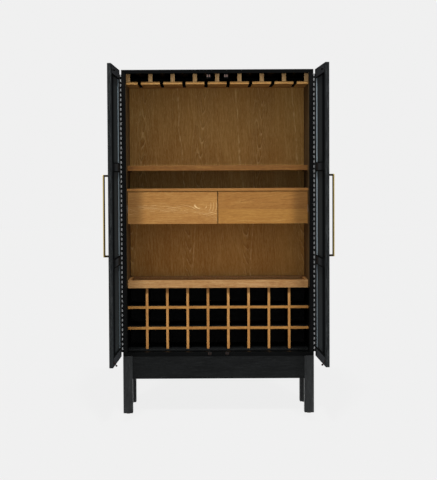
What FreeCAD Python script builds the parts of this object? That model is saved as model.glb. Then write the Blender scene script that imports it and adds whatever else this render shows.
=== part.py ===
import FreeCAD, Part
import os
import re

# Tall wine cabinet on a leg base, with two glazed doors standing open.
# Frame: +Z up, the front faces -Y, the origin is on the floor under the middle of the open cabinet.
# Depths are counted back from the front edges of the carcass, levels up from its inner floor.

# Each size once: name, value in millimetres (or degrees, or a count), and what it is.
SIZES = (
    # carcass
    ("carcass_width", 1016, "over the two side panels"),
    ("carcass_depth", 445, "front edges to rear edges"),
    ("carcass_height", 1520, "under the bottom panel to the top of the top panel"),
    ("side_thick", 24, "side panels"),
    ("top_thick", 20, "top panel"),
    ("bottom_thick", 21, "bottom panel"),
    ("back_thick", 10, "back panel"),
    ("back_inset", 27, "back panel in from the rear edges"),
    ("cut_overrun", 1, "how far a cut runs past the face it opens"),
    # leg base
    ("leg_length", 305, "glide to carcass"),
    ("leg_width", 50, "square legs"),
    ("apron_height", 121, "aprons between the legs"),
    ("apron_thick", 22, "aprons"),
    ("apron_setback", 2.5, "aprons behind the leg faces"),
    ("cleat_width", 20, "battens inside the aprons, screwed up into the bottom panel"),
    ("glide_radius", 11, "foot glides"),
    ("glide_height", 4, "foot glides"),
    # stemware rack
    ("rack_setback", 40, "rack behind the carcass front"),
    ("rack_board_thick", 13, "slotted board"),
    ("upright_height", 41.5, "top panel to slotted board"),
    ("upright_width", 22, "uprights"),
    ("upright_count", 9, "uprights across the cabinet"),
    ("slot_width", 18, "stem slots"),
    ("slot_back_margin", 51, "uncut board behind the slots"),
    # upper shelf
    ("shelf_thick", 28, "upper shelf"),
    ("shelf_level", 966, "underside of the upper shelf"),
    ("shelf_setback", 95, "upper shelf behind the carcass front"),
    ("shelf_side_gap", 0.5, "shelf end to side panel"),
    ("shelf_pin_radius", 2.5, "shelf pins"),
    ("shelf_pin_seat", 10, "pin inside the side panel"),
    ("shelf_pin_reach", 12, "pin under the shelf"),
    ("shelf_pin_inset", 45, "pin from the shelf's front or rear edge"),
    ("pin_hole_clearance", 0.1, "shelf pin in its hole, on the radius"),
    # drawer case and drawers
    ("case_top_thick", 15, "board over the drawers"),
    ("case_top_level", 856, "underside of that board"),
    ("case_setback", 60, "that board behind the carcass front"),
    ("case_divider_thick", 18, "board between the drawers"),
    ("case_divider_height", 150, "board between the drawers"),
    ("drawer_front_height", 172.5, "drawer fronts"),
    ("drawer_front_thick", 18, "drawer fronts"),
    ("drawer_front_setback", 4, "fronts behind the edge of the board over them"),
    ("drawer_front_gap", 5, "between the two fronts"),
    ("drawer_top_gap", 2, "front to the board over it"),
    ("drawer_wall_gap", 3, "front to side panel"),
    ("drawer_stop_gap", 0.5, "front to the divider's edge when shut"),
    ("drawer_side_thick", 12, "drawer sides and backs"),
    ("drawer_side_height", 130, "drawer sides and backs"),
    ("drawer_box_rise", 14, "drawer sides above the bottom edge of the front"),
    ("drawer_bottom_thick", 6, "drawer bottoms"),
    ("drawer_groove_depth", 5, "groove for the drawer bottom"),
    ("drawer_groove_rise", 10, "groove above the lower edge of the sides"),
    ("drawer_groove_clearance", 0.2, "drawer bottom in its groove, each way"),
    ("drawer_back_gap", 20, "drawer to back panel when shut"),
    ("runner_gap", 13, "drawer side to the wall that carries it"),
    ("runner_depth", 10, "fixed rail out from its wall"),
    ("runner_height", 42, "fixed rail"),
    ("runner_sheet", 1.5, "steel of the rails"),
    ("runner_play", 0.5, "slide inside its rail, all round"),
    # wine rack
    ("wine_setback", 85, "wine rack behind the carcass front"),
    ("wine_columns", 9, "bottles across"),
    ("wine_rows", 3, "bottles high"),
    ("wine_base_thick", 9, "board under the bottles"),
    ("wine_top_thick", 10.25, "board over the bottles"),
    ("wine_board_thick", 13.5, "dividers and shelves"),
    ("wine_low_cell_height", 105, "clear height of the lowest row"),
    ("wine_cell_height", 98, "clear height of the rows above it"),
    ("lap_clearance", 0.2, "half-lap joints, each side"),
    ("lipping_depth", 8, "oak lipping on the front edges"),
    # serving tray
    ("tray_setback", 60, "tray lip behind the carcass front"),
    ("tray_lip_height", 42, "front lip"),
    ("tray_lip_drop", 9.25, "front lip below the tray floor"),
    ("tray_lip_thick", 18, "front lip"),
    ("tray_floor_thick", 16, "tray floor"),
    ("tray_rim_thick", 15, "side and back rims"),
    ("tray_side_gap", 2, "tray to side panel"),
    ("tray_back_gap", 6, "tray to back panel"),
    # doors
    ("door_thick", 19, "door frames"),
    ("door_open_angle", 91.7, "degrees that the doors stand open at rest"),
    ("door_standoff", 3, "shut door in front of the carcass"),
    ("door_top_reveal", 2, "door below the top of the carcass"),
    ("door_bottom_reveal", 0.5, "door above the bottom of the carcass"),
    ("door_centre_gap", 3, "between the shut doors"),
    ("stile_width", 52, "stiles"),
    ("rail_width", 52, "top and bottom rails"),
    ("muntin_width", 54, "middle rails"),
    ("lite_count", 3, "panes in a door"),
    ("outer_lip", 7, "wood in front of the glass"),
    ("glass_thick", 4, "panes"),
    ("rebate_width", 8, "step that the glass sits in"),
    ("glass_clearance", 1, "pane edge to rebate"),
    ("bead_thick", 5, "glazing bead"),
    ("bead_clearance", 0.2, "glazing bead to rebate"),
    # piano hinges
    ("hinge_axis_out", 3.8, "hinge axis outside the side panel's face"),
    ("hinge_axis_back", 0.8, "hinge axis behind the carcass front"),
    ("knuckle_radius", 3.5, "barrel"),
    ("knuckle_length", 12.7, "one knuckle"),
    ("knuckle_gap", 0.4, "between knuckles"),
    ("hinge_end_margin", 21, "hinge end to door end, at least"),
    ("hinge_pin_radius", 1.6, "hinge pin"),
    ("hinge_pin_clearance", 0.05, "pin in its knuckles, on the radius"),
    ("leaf_thick", 1.2, "hinge leaves"),
    ("leaf_width", 18, "flat of a hinge leaf"),
    ("leaf_root_gap", 0.5, "barrel to the flat of the other leaf"),
    ("hinge_screw_spacing", 152.4, "screws along a leaf"),
    ("hinge_screw_length", 16, "head included"),
    ("hinge_screw_radius", 1.5, "shank"),
    ("hinge_screw_head_radius", 3, "countersunk head"),
    ("hinge_screw_clearance", 0.1, "head in its countersink, on the radius"),
    # handles
    ("handle_length", 411, "bar handle"),
    ("handle_bar", 10, "square section"),
    ("handle_projection", 27.5, "out from the door"),
    ("handle_edge_distance", 26, "door edge to the middle of the handle"),
    ("handle_screw_radius", 2, "handle screws"),
    ("handle_screw_clearance", 0.3, "handle screw in the stile, on the radius"),
    ("handle_screw_bite", 12, "thread inside the handle"),
    ("handle_screw_head_radius", 4.5, "pan head"),
    ("handle_screw_head_height", 2.5, "pan head"),
    # strikes and catches
    ("strike_edge_distance", 45, "door edge to strike"),
    ("strike_reach", 13, "door face to the middle of the ball"),
    ("strike_ball_radius", 5, "ball head"),
    ("strike_stem_radius", 2, "stem"),
    ("strike_plate_radius", 7, "round plate on the door"),
    ("strike_plate_thick", 2, "round plate on the door"),
    ("top_strike_drop", 32, "upper ball below the top of the door"),
    ("low_strike_rise", 25.5, "foot of the lower stem above the bottom of the door"),
    ("low_strike_slope", 18, "lower ball below the foot of its stem"),
    ("catch_width", 22, "magnet housing"),
    ("top_catch_height", 24, "magnet housing under the top"),
    ("low_catch_height", 16, "magnet housing in the bottom panel"),
    ("catch_length", 22, "magnet housing"),
    ("catch_air_gap", 1, "ball to the magnet's poles"),
    ("pole_width", 7, "pole plates"),
    ("pole_gap", 4, "between the two pole plates of a catch"),
    ("pole_height", 12, "pole plates"),
    ("pole_proud", 2, "pole plates in front of the housing"),
    ("catch_floor", 2.5, "wood left under the lower catches"),
    ("catch_fit", 0.5, "lower catch to the sides of its notch"),
)

doc = FreeCAD.newDocument("WineCabinet")
sheet = doc.addObject("Spreadsheet::Sheet", "Sizes")
size = {}
for row, (name, value, note) in enumerate(SIZES, start=1):
    sheet.set(f"A{row}", name)
    sheet.set(f"B{row}", str(value))
    sheet.setAlias(f"B{row}", name)
    sheet.set(f"C{row}", note)
    size[name] = value
doc.recompute()

LEFT = -1
RIGHT = 1
SIDE_NAMES = {LEFT: "left", RIGHT: "right"}
middle_share = 0.5
subparts = []


def terms(text):
    """An expression with each size name pointed at its cell in the sheet."""
    return re.sub(r"[a-z][a-z_]*", lambda m: f"Sizes.{m[0]}" if m[0] in size else m[0], text)


def bind(thing, prop, text):
    thing.setExpression(prop, terms(text))


def block(x, y, z):
    """A square-edged block between two expressions on each axis."""
    box = doc.addObject("Part::Box", "Block")
    for prop, axis, (low, high) in (("Length", "x", x), ("Width", "y", y), ("Height", "z", z)):
        bind(box, prop, f"({high}) - ({low})")
        bind(box, f"Placement.Base.{axis}", low)
    return box


def rod(radius, length, at, turn=0, axis=(1, 0, 0)):
    """A cylinder from a point along +Z, turned about an axis by so many degrees."""
    cylinder = doc.addObject("Part::Cylinder", "Rod")
    bind(cylinder, "Radius", radius)
    bind(cylinder, "Height", length)
    place(cylinder, at, turn, axis)
    return cylinder


def place(thing, at, turn, axis):
    thing.Placement = FreeCAD.Placement(FreeCAD.Vector(), FreeCAD.Rotation(FreeCAD.Vector(*axis), 1))
    for name, text in zip("xyz", at):
        bind(thing, f"Placement.Base.{name}", text)
    bind(thing, "Placement.Rotation.Angle", f"{turn}")


def wedge(turn, axis, low_length, high_length, thickness, height):
    """A board whose ends are cut aslant: one length on its lower face, another on its upper face."""
    board = doc.addObject("Part::Wedge", "Mitred")
    spans = {
        ("Xmin", "Xmax"): low_length,
        ("X2min", "X2max"): high_length,
        ("Ymin", "Ymax"): thickness,
        ("Zmin", "Zmax"): height,
        ("Z2min", "Z2max"): height,
    }
    for props, span in spans.items():
        for prop, text in zip(props, span):
            bind(board, prop, text)
    board.Placement = FreeCAD.Placement(FreeCAD.Vector(), FreeCAD.Rotation(FreeCAD.Vector(*axis), turn))
    return board


def group(pieces):
    compound = doc.addObject("Part::Compound", "Group")
    compound.Links = pieces
    return compound


def fuse(pieces):
    joined = doc.addObject("Part::MultiFuse", "Joined")
    joined.Shapes = pieces
    return joined


def cut(base, tools):
    pared = doc.addObject("Part::Cut", "Pared")
    pared.Base = base
    pared.Tool = group(tools)
    return pared


def subpart(label, thing):
    thing.Label = label
    subparts.append(thing)
    return thing


def across(side, low, high):
    """A span along X, written for the right-hand side and mirrored for the left."""
    return (low, high) if side == RIGHT else (f"-({high})", f"-({low})")


# Main places. The doors at rest reach furthest forward at the edge of their inner or outer face,
# and the carcass is set so that the open cabinet is centred over the origin.
door_inner = "(door_standoff + hinge_axis_back)"
door_outer = f"({door_inner} + door_thick)"
door_free_edge = "(carcass_width / 2 + hinge_axis_out - door_centre_gap / 2)"
door_reach = (
    f"({door_free_edge} * sin(door_open_angle)"
    f" + max({door_inner} * cos(door_open_angle); {door_outer} * cos(door_open_angle)))"
)
front = f"(({door_reach} - hinge_axis_back - carcass_depth) / 2)"
rear = f"({front} + carcass_depth)"
back_face = f"({rear} - back_inset - back_thick)"
carcass_low = "(glide_height + leg_length)"
carcass_high = f"({carcass_low} + carcass_height)"
inner_floor = f"({carcass_low} + bottom_thick)"
ceiling = f"({carcass_high} - top_thick)"
outer_half = "(carcass_width / 2)"
inner_half = "(carcass_width / 2 - side_thick)"


def behind(setback):
    return f"({front} + {setback})"


# Carcass panels, mitred where they meet
depth_span = (front, rear)
upright_turn = (-120, (1, 1, 1))
flat_turn = (90, (1, 0, 0))
outer_rise = (carcass_low, carcass_high)
inner_rise = (inner_floor, ceiling)
outer_run = (f"-{outer_half}", outer_half)
inner_run = (f"-{inner_half}", inner_half)
flat_depth = (f"-{rear}", f"-{front}")

side_boards = {
    LEFT: wedge(*upright_turn, outer_rise, inner_rise, (f"-{outer_half}", f"-{inner_half}"), depth_span),
    RIGHT: wedge(*upright_turn, inner_rise, outer_rise, (inner_half, outer_half), depth_span),
}
shelf_low = f"({inner_floor} + shelf_level)"
shelf_front = behind("shelf_setback")
pin_height = f"({shelf_low} - shelf_pin_radius)"
pin_depths = (f"({shelf_front} + shelf_pin_inset)", f"({back_face} - shelf_pin_inset)")
pins = []
for side, board in side_boards.items():
    holes = []
    for depth in pin_depths:
        seat = f"{side} * ({inner_half} + shelf_pin_seat)"
        length = "shelf_pin_seat + shelf_pin_reach"
        turn = -side * 90
        pins.append(rod("shelf_pin_radius", length, (seat, depth, pin_height), turn, (0, 1, 0)))
        hole_radius = "shelf_pin_radius + pin_hole_clearance"
        holes.append(rod(hole_radius, length, (seat, depth, pin_height), turn, (0, 1, 0)))
    subpart(f"{SIDE_NAMES[side]}_side_panel", cut(board, holes))
subpart("top_panel", wedge(*flat_turn, inner_run, outer_run, (ceiling, carcass_high), flat_depth))
subpart("shelf_pins", group(pins))
subpart(
    "back_panel",
    block(inner_run, (back_face, f"{back_face} + back_thick"), inner_rise),
)

# Catches: magnets under the top panel and in notches of the bottom panel's front edge
strike_across = "(door_centre_gap / 2 + strike_edge_distance)"
pole_face = behind("strike_reach - door_standoff + strike_ball_radius + catch_air_gap")
housing_face = f"({pole_face} + pole_proud)"
housing_back = f"({housing_face} + catch_length)"
catch_levels = (
    (f"({ceiling} - top_catch_height)", ceiling),
    (f"({carcass_low} + catch_floor)", f"({carcass_low} + catch_floor + low_catch_height)"),
)


def catch(side, low, high):
    middle = f"({side} * {strike_across})"
    housing = block(
        (f"{middle} - catch_width / 2", f"{middle} + catch_width / 2"), (housing_face, housing_back), (low, high)
    )
    poles = [
        block(
            (f"{middle} + {start}", f"{middle} + {start} + pole_width"),
            (pole_face, housing_face),
            (f"({low} + {high} - pole_height) / 2", f"({low} + {high} + pole_height) / 2"),
        )
        for start in ("(-pole_gap / 2 - pole_width)", "pole_gap / 2")
    ]
    return fuse([housing] + poles)


catches = []
notches = []
for side in (LEFT, RIGHT):
    for low, high in catch_levels:
        catches.append(catch(side, low, high))
    reach = "(catch_width / 2 + catch_fit)"
    notches.append(
        block(
            (f"{side} * {strike_across} - {reach}", f"{side} * {strike_across} + {reach}"),
            (f"{front} - cut_overrun", housing_back),
            (f"{carcass_low} + catch_floor", f"{inner_floor} + cut_overrun"),
        )
    )
bottom_board = wedge(*flat_turn, outer_run, inner_run, (carcass_low, inner_floor), flat_depth)
subpart("bottom_panel", cut(bottom_board, notches))
subpart("door_catches", group(catches))

# Leg base
leg_rise = ("glide_height", carcass_low)
leg_inner = f"({outer_half} - leg_width)"
legs = []
glides = []
for side in (LEFT, RIGHT):
    for low, high in ((front, behind("leg_width")), (f"({rear} - leg_width)", rear)):
        legs.append(block(across(side, leg_inner, outer_half), (low, high), leg_rise))
        foot = (f"{side} * ({outer_half} - leg_width / 2)", f"({low} + {high}) / 2", "0")
        glides.append(rod("glide_radius", "glide_height", foot))
subpart("legs", group(legs))
subpart("foot_glides", group(glides))

apron_rise = (f"({carcass_low} - apron_height)", carcass_low)
apron_run = (f"-{leg_inner}", leg_inner)
front_apron_face = behind("apron_setback")
rear_apron_face = f"({rear} - apron_setback)"
front_apron_back = f"({front_apron_face} + apron_thick)"
rear_apron_back = f"({rear_apron_face} - apron_thick)"
subpart("front_apron", block(apron_run, (front_apron_face, front_apron_back), apron_rise))
subpart("rear_apron", block(apron_run, (rear_apron_back, rear_apron_face), apron_rise))
side_apron_faces = (f"{outer_half} - apron_setback - apron_thick", f"{outer_half} - apron_setback")
side_apron_depth = (behind("leg_width"), f"{rear} - leg_width")
side_aprons = [block(across(side, *side_apron_faces), side_apron_depth, apron_rise) for side in (LEFT, RIGHT)]
subpart("side_aprons", group(side_aprons))
cleat_rise = (f"({carcass_low} - cleat_width)", carcass_low)
cleats = [
    block(apron_run, (front_apron_back, f"{front_apron_back} + cleat_width"), cleat_rise),
    block(apron_run, (f"{rear_apron_back} - cleat_width", rear_apron_back), cleat_rise),
]
subpart("base_cleats", group(cleats))

# Stemware rack: uprights under the top panel carry a board with slots open to the front
rack_front = behind("rack_setback")
rack_depth = (rack_front, back_face)
upright_low = f"({ceiling} - upright_height)"
upright_pitch = f"((2 * {inner_half} - upright_width) / (upright_count - 1))"
first_upright = f"(upright_width / 2 - {inner_half})"
uprights = []
slots = []
slot_end = f"({back_face} - slot_back_margin - slot_width / 2)"
board_low = f"({upright_low} - rack_board_thick)"
for place_across in range(size["upright_count"]):
    middle = f"({first_upright} + {place_across} * {upright_pitch})"
    uprights.append(
        block((f"{middle} - upright_width / 2", f"{middle} + upright_width / 2"), rack_depth, (upright_low, ceiling))
    )
for place_across in range(size["upright_count"] - 1):
    middle = f"({first_upright} + {place_across + middle_share} * {upright_pitch})"
    slot_rise = (f"{board_low} - cut_overrun", f"{upright_low} + cut_overrun")
    slots.append(
        fuse([
            block(
                (f"{middle} - slot_width / 2", f"{middle} + slot_width / 2"),
                (f"{rack_front} - cut_overrun", slot_end),
                slot_rise,
            ),
            rod("slot_width / 2", "rack_board_thick + 2 * cut_overrun", (middle, slot_end, slot_rise[0])),
        ])
    )
subpart("stemware_rack_uprights", group(uprights))
subpart("stemware_rack_board", cut(block(inner_run, rack_depth, (board_low, upright_low)), slots))

# Upper shelf
shelf_end = f"({inner_half} - shelf_side_gap)"
subpart(
    "upper_shelf",
    block((f"-{shelf_end}", shelf_end), (shelf_front, back_face), (shelf_low, f"{shelf_low} + shelf_thick")),
)

# Drawer case: a top board, a divider hung under it, and steel rails on the walls
case_low = f"({inner_floor} + case_top_level)"
subpart(
    "drawer_case_top",
    block(inner_run, (behind("case_setback"), back_face), (case_low, f"{case_low} + case_top_thick")),
)
drawer_face = behind("case_setback + drawer_front_setback")
drawer_front_back = f"({drawer_face} + drawer_front_thick)"
drawer_rear = f"({back_face} - drawer_back_gap)"
case_inner = f"({drawer_front_back} + drawer_stop_gap)"
subpart(
    "drawer_case_divider",
    block(
        ("-case_divider_thick / 2", "case_divider_thick / 2"),
        (case_inner, back_face),
        (f"{case_low} - case_divider_height", case_low),
    ),
)
front_high = f"({case_low} - drawer_top_gap)"
front_low = f"({front_high} - drawer_front_height)"
box_low = f"({front_low} + drawer_box_rise)"
box_high = f"({box_low} + drawer_side_height)"
rail_middle = f"({box_low} + drawer_side_height / 2)"
rail_rise = (f"({rail_middle} - runner_height / 2)", f"({rail_middle} + runner_height / 2)")
rail_depth = (case_inner, drawer_rear)


def channel(side, wall, mouth, depth, rise):
    """A steel channel whose back is at one place across and whose open side is at the other."""
    walls = f"runner_sheet"
    outside = block(across(side, wall, mouth), depth, rise)
    hollow = block(
        across(side, f"{wall} + {walls}", f"{mouth} + cut_overrun"),
        (f"{depth[0]} - cut_overrun", f"{depth[1]} + cut_overrun"),
        (f"{rise[0]} + {walls}", f"{rise[1]} - {walls}"),
    )
    return cut(outside, [hollow])


rails = []
outer_wall = inner_half
divider_wall = "(case_divider_thick / 2)"
slide_rise = tuple(
    f"({edge} {sign} (runner_sheet + runner_play))" for edge, sign in zip(rail_rise, "+-")
)
slide_seat = "(runner_sheet + runner_play)"
for side in (LEFT, RIGHT):
    # the channel on the side panel opens inwards, the one on the divider outwards
    rails.append(channel(-side, f"-{outer_wall}", f"runner_depth - {outer_wall}", rail_depth, rail_rise))
    rails.append(channel(side, divider_wall, f"{divider_wall} + runner_depth", rail_depth, rail_rise))
subpart("drawer_runner_rails", group(rails))


# Drawers: an oak front on a box with a grooved-in bottom, on two steel slides
def drawer(side):
    name = f"{SIDE_NAMES[side]}_drawer"
    inner_end = f"({divider_wall} + runner_gap)"
    outer_end = f"({outer_wall} - runner_gap)"
    bottom_low = f"({box_low} + drawer_groove_rise)"
    bottom_rise = (bottom_low, f"{bottom_low} + drawer_bottom_thick")
    bottom_run = (
        f"{inner_end} + drawer_side_thick - drawer_groove_depth",
        f"{outer_end} - drawer_side_thick + drawer_groove_depth",
    )
    bottom_depth = (f"{drawer_front_back} - drawer_groove_depth", drawer_rear)
    slack = "drawer_groove_clearance"
    groove = block(
        across(side, f"{bottom_run[0]} - {slack}", f"{bottom_run[1]} + {slack}"),
        (f"{bottom_depth[0]} - {slack}", f"{bottom_depth[1]} + cut_overrun"),
        (f"{bottom_rise[0]} - {slack}", f"{bottom_rise[1]} + {slack}"),
    )
    board = block(
        across(side, "drawer_front_gap / 2", f"{outer_wall} - drawer_wall_gap"),
        (drawer_face, drawer_front_back),
        (front_low, front_high),
    )
    subpart(f"{name}_front", cut(board, [groove]))
    box_rise = (box_low, box_high)
    side_depth = (drawer_front_back, drawer_rear)
    walls = [
        block(across(side, inner_end, f"{inner_end} + drawer_side_thick"), side_depth, box_rise),
        block(across(side, f"{outer_end} - drawer_side_thick", outer_end), side_depth, box_rise),
        block(
            across(side, f"{inner_end} + drawer_side_thick", f"{outer_end} - drawer_side_thick"),
            (f"{drawer_rear} - drawer_side_thick", drawer_rear),
            (f"{bottom_rise[1]} + {slack}", box_high),
        ),
    ]
    subpart(f"{name}_box", cut(group(walls), [groove]))
    subpart(f"{name}_bottom", block(across(side, *bottom_run), bottom_depth, bottom_rise))
    slides = [
        channel(side, f"{divider_wall} + {slide_seat}", inner_end, rail_depth, slide_rise),
        channel(-side, f"{slide_seat} - {outer_wall}", f"-{outer_end}", rail_depth, slide_rise),
    ]
    subpart(f"{name}_runners", group(slides))


for side in (LEFT, RIGHT):
    drawer(side)

# Wine rack: dividers and shelves half-lapped together, lipped with oak, between two boards
wine_front = behind("wine_setback")
wine_depth = (wine_front, back_face)
lipping_depth = (wine_front, f"({wine_front} + lipping_depth)")
board_depth = (f"({wine_front} + lipping_depth)", back_face)
lap_middle = f"(({board_depth[0]} + {back_face}) / 2)"
wine_low = f"({inner_floor} + wine_base_thick)"
shelf_count = size["wine_rows"] - 1
divider_count = size["wine_columns"] - 1
wine_high = f"({wine_low} + wine_low_cell_height + (wine_rows - 1) * (wine_cell_height + wine_board_thick))"
cell_width = f"((2 * {inner_half} - (wine_columns - 1) * wine_board_thick) / wine_columns)"
divider_spans = []
for index in range(divider_count):
    start = f"({index + 1} * {cell_width} + {index} * wine_board_thick - {inner_half})"
    divider_spans.append((start, f"({start} + wine_board_thick)"))
shelf_spans = []
for index in range(shelf_count):
    start = f"({wine_low} + wine_low_cell_height + {index} * (wine_cell_height + wine_board_thick))"
    shelf_spans.append((start, f"({start} + wine_board_thick)"))


def widened(span):
    return (f"{span[0]} - lap_clearance", f"{span[1]} + lap_clearance")


subpart("wine_rack_base", block(inner_run, wine_depth, (inner_floor, wine_low)))
subpart("wine_rack_top", block(inner_run, wine_depth, (wine_high, f"{wine_high} + wine_top_thick")))
wine_rise = (wine_low, wine_high)
rear_laps = (f"{lap_middle} - lap_clearance", f"{back_face} + cut_overrun")
front_laps = (f"{board_depth[0]} - cut_overrun", f"{lap_middle} + lap_clearance")
dividers = group([block(span, board_depth, wine_rise) for span in divider_spans])
shelves = group([block(inner_run, board_depth, span) for span in shelf_spans])
subpart("wine_dividers", cut(dividers, [block(inner_run, rear_laps, widened(span)) for span in shelf_spans]))
subpart("wine_shelves", cut(shelves, [block(widened(span), front_laps, wine_rise) for span in divider_spans]))
lippings = [block(span, lipping_depth, wine_rise) for span in divider_spans]
gap_starts = [f"-{inner_half}"] + [span[1] for span in divider_spans]
gap_ends = [span[0] for span in divider_spans] + [inner_half]
for rise in shelf_spans:
    lippings += [block((start, end), lipping_depth, rise) for start, end in zip(gap_starts, gap_ends)]
subpart("wine_rack_lippings", group(lippings))

# Serving tray, sliding on the board over the bottles
tray_low = f"({wine_high} + wine_top_thick)"
tray_half = f"({inner_half} - tray_side_gap)"
tray_inner_half = f"({tray_half} - tray_rim_thick)"
lip_back = behind("tray_setback + tray_lip_thick")
tray_rear = f"({back_face} - tray_back_gap)"
tray_rim_front = f"({tray_rear} - tray_rim_thick)"
lip_low = f"({tray_low} - tray_lip_drop)"
lip_high = f"({lip_low} + tray_lip_height)"
floor_high = f"({tray_low} + tray_floor_thick)"
tray_run = (f"-{tray_half}", tray_half)
subpart("tray_floor", block(tray_run, (lip_back, tray_rear), (tray_low, floor_high)))
subpart("tray_front_lip", block(tray_run, (behind("tray_setback"), lip_back), (lip_low, lip_high)))
rim_rise = (floor_high, lip_high)
outer_rim = (lip_back, tray_rear)
inner_rim = (lip_back, tray_rim_front)
side_turn = (90, (0, 0, 1))
rims = [
    wedge(*side_turn, outer_rim, inner_rim, (f"-{tray_half}", f"-{tray_inner_half}"), rim_rise),
    wedge(*side_turn, inner_rim, outer_rim, (tray_inner_half, tray_half), rim_rise),
    wedge(0, (0, 0, 1), (f"-{tray_inner_half}", tray_inner_half), tray_run, (tray_rim_front, tray_rear), rim_rise),
]
subpart("tray_rims", group(rims))

# Piano hinges. Everything on a hinge or a door is drawn with the door shut and the axis at zero,
# then set on the axis and, on a door, swung open.
door_low = f"({carcass_low} + door_bottom_reveal)"
door_high = f"({carcass_high} - door_top_reveal)"
shut_height = size["carcass_height"] - size["door_top_reveal"] - size["door_bottom_reveal"]
hinge_room = shut_height - 2 * size["hinge_end_margin"]
knuckle_count = int(hinge_room // size["knuckle_length"])
hinge_length = f"({knuckle_count} * knuckle_length)"
hinge_low = f"(({door_low} + {door_high} - {hinge_length}) / 2)"
screw_count = int(hinge_room // size["hinge_screw_spacing"]) + 1
leaf_start = "(knuckle_radius + leaf_root_gap)"
screw_across = f"({leaf_start} + leaf_width / 2)"
hinge_middle = f"({hinge_low} + {hinge_length} / 2)"
screw_heights = [
    f"({hinge_middle} + {index - (screw_count - 1) / 2} * hinge_screw_spacing)" for index in range(screw_count)
]


def on_hinge(side, thing, swing):
    at = (f"{side} * ({outer_half} + hinge_axis_out)", f"{front} + hinge_axis_back", "0")
    place(thing, at, f"{side} * {swing}", (0, 0, 1))
    return thing


def on_door(side, thing):
    return on_hinge(side, thing, "door_open_angle")


def knuckle_notches(first):
    """Boxes that clear the barrel where the other leaf has its knuckles."""
    reach = (f"-{leaf_start}", leaf_start)
    return group([
        block(
            reach,
            reach,
            (
                f"{hinge_low} + {index} * knuckle_length - knuckle_gap / 2",
                f"{hinge_low} + {index + 1} * knuckle_length + knuckle_gap / 2",
            ),
        )
        for index in range(first, knuckle_count, 2)
    ])


def screw_turn(facing):
    """Screws point along Y: facing -1 shows the head to the front, 1 to the back."""
    return -facing * 90


def hinge_screws(side, head_face, facing):
    screws = []
    for height in screw_heights:
        x = f"-({side}) * {screw_across}"
        start = f"{head_face} - ({facing}) * hinge_screw_length"
        shank = rod("hinge_screw_radius", "hinge_screw_length - leaf_thick", (x, start, height), screw_turn(facing))
        screws.append(fuse([shank, countersink(x, head_face, height, facing, "0")]))
    return screws


def countersink(x, head_face, height, facing, clearance):
    cone = doc.addObject("Part::Cone", "Countersink")
    bind(cone, "Radius1", f"hinge_screw_radius + {clearance}")
    bind(cone, "Radius2", f"hinge_screw_head_radius + {clearance}")
    bind(cone, "Height", "leaf_thick")
    place(cone, (x, f"{head_face} - ({facing}) * leaf_thick", height), screw_turn(facing), (1, 0, 0))
    return cone


def hinge_leaf(side, faces, head_face, facing, notch):
    """A leaf: its flat lies between two places in depth, and its knuckles clear the other leaf's."""
    barrel_rise = (f"{hinge_low} + knuckle_gap / 2", f"{hinge_low} + {hinge_length} - knuckle_gap / 2")
    flat = block(across(-side, "0", f"{leaf_start} + leaf_width"), faces, barrel_rise)
    barrel = rod("knuckle_radius", f"{barrel_rise[1]} - ({barrel_rise[0]})", ("0", "0", barrel_rise[0]))
    bore = rod(
        "hinge_pin_radius + hinge_pin_clearance",
        f"{hinge_length} + 2 * cut_overrun",
        ("0", "0", f"{hinge_low} - cut_overrun"),
    )
    x = f"-({side}) * {screw_across}"
    holes = [countersink(x, head_face, height, facing, "hinge_screw_clearance") for height in screw_heights]
    return cut(fuse([flat, barrel]), [notch, bore] + holes)


carcass_leaf_faces = ("-hinge_axis_back - leaf_thick", "-hinge_axis_back")
door_leaf_faces = (f"-{door_inner}", f"leaf_thick - {door_inner}")
even_notches = knuckle_notches(0)
odd_notches = knuckle_notches(1)
hinge_pins = []
carcass_screws = []
for side in (LEFT, RIGHT):
    leaf = hinge_leaf(side, carcass_leaf_faces, carcass_leaf_faces[0], -1, odd_notches)
    subpart(f"{SIDE_NAMES[side]}_hinge_carcass_leaf", on_hinge(side, leaf, "0"))
    pin = rod("hinge_pin_radius", hinge_length, ("0", "0", hinge_low))
    hinge_pins.append(on_hinge(side, group([pin]), "0"))
    screws = hinge_screws(side, carcass_leaf_faces[0], -1)
    carcass_screws.append(on_hinge(side, group(screws), "0"))
subpart("hinge_pins", group(hinge_pins))
subpart("hinge_carcass_screws", group(carcass_screws))

# Doors
opening_run = ("(hinge_axis_out + stile_width)", f"({door_free_edge} - stile_width)")
outer_face = f"(-{door_outer})"
inner_face = f"(-{door_inner})"
door_faces = (outer_face, inner_face)
lite_height = (
    f"(({door_high} - {door_low} - 2 * rail_width - (lite_count - 1) * muntin_width) / lite_count)"
)
lite_lows = [
    f"({door_low} + rail_width + {index} * ({lite_height} + muntin_width))" for index in range(size["lite_count"])
]
handle_across = f"({door_free_edge} - handle_edge_distance)"
handle_low = f"(({door_low} + {door_high} - handle_length) / 2)"
handle_high = f"({handle_low} + handle_length)"
post_heights = (f"({handle_low} + handle_bar / 2)", f"({handle_high} - handle_bar / 2)")


def lite_box(side, low, spread, faces):
    """A box over one lite, spread past its sight line on all four edges."""
    run = across(-side, f"{opening_run[0]} - {spread}", f"{opening_run[1]} + {spread}")
    return block(run, faces, (f"{low} - {spread}", f"{low} + {lite_height} + {spread}"))


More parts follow.
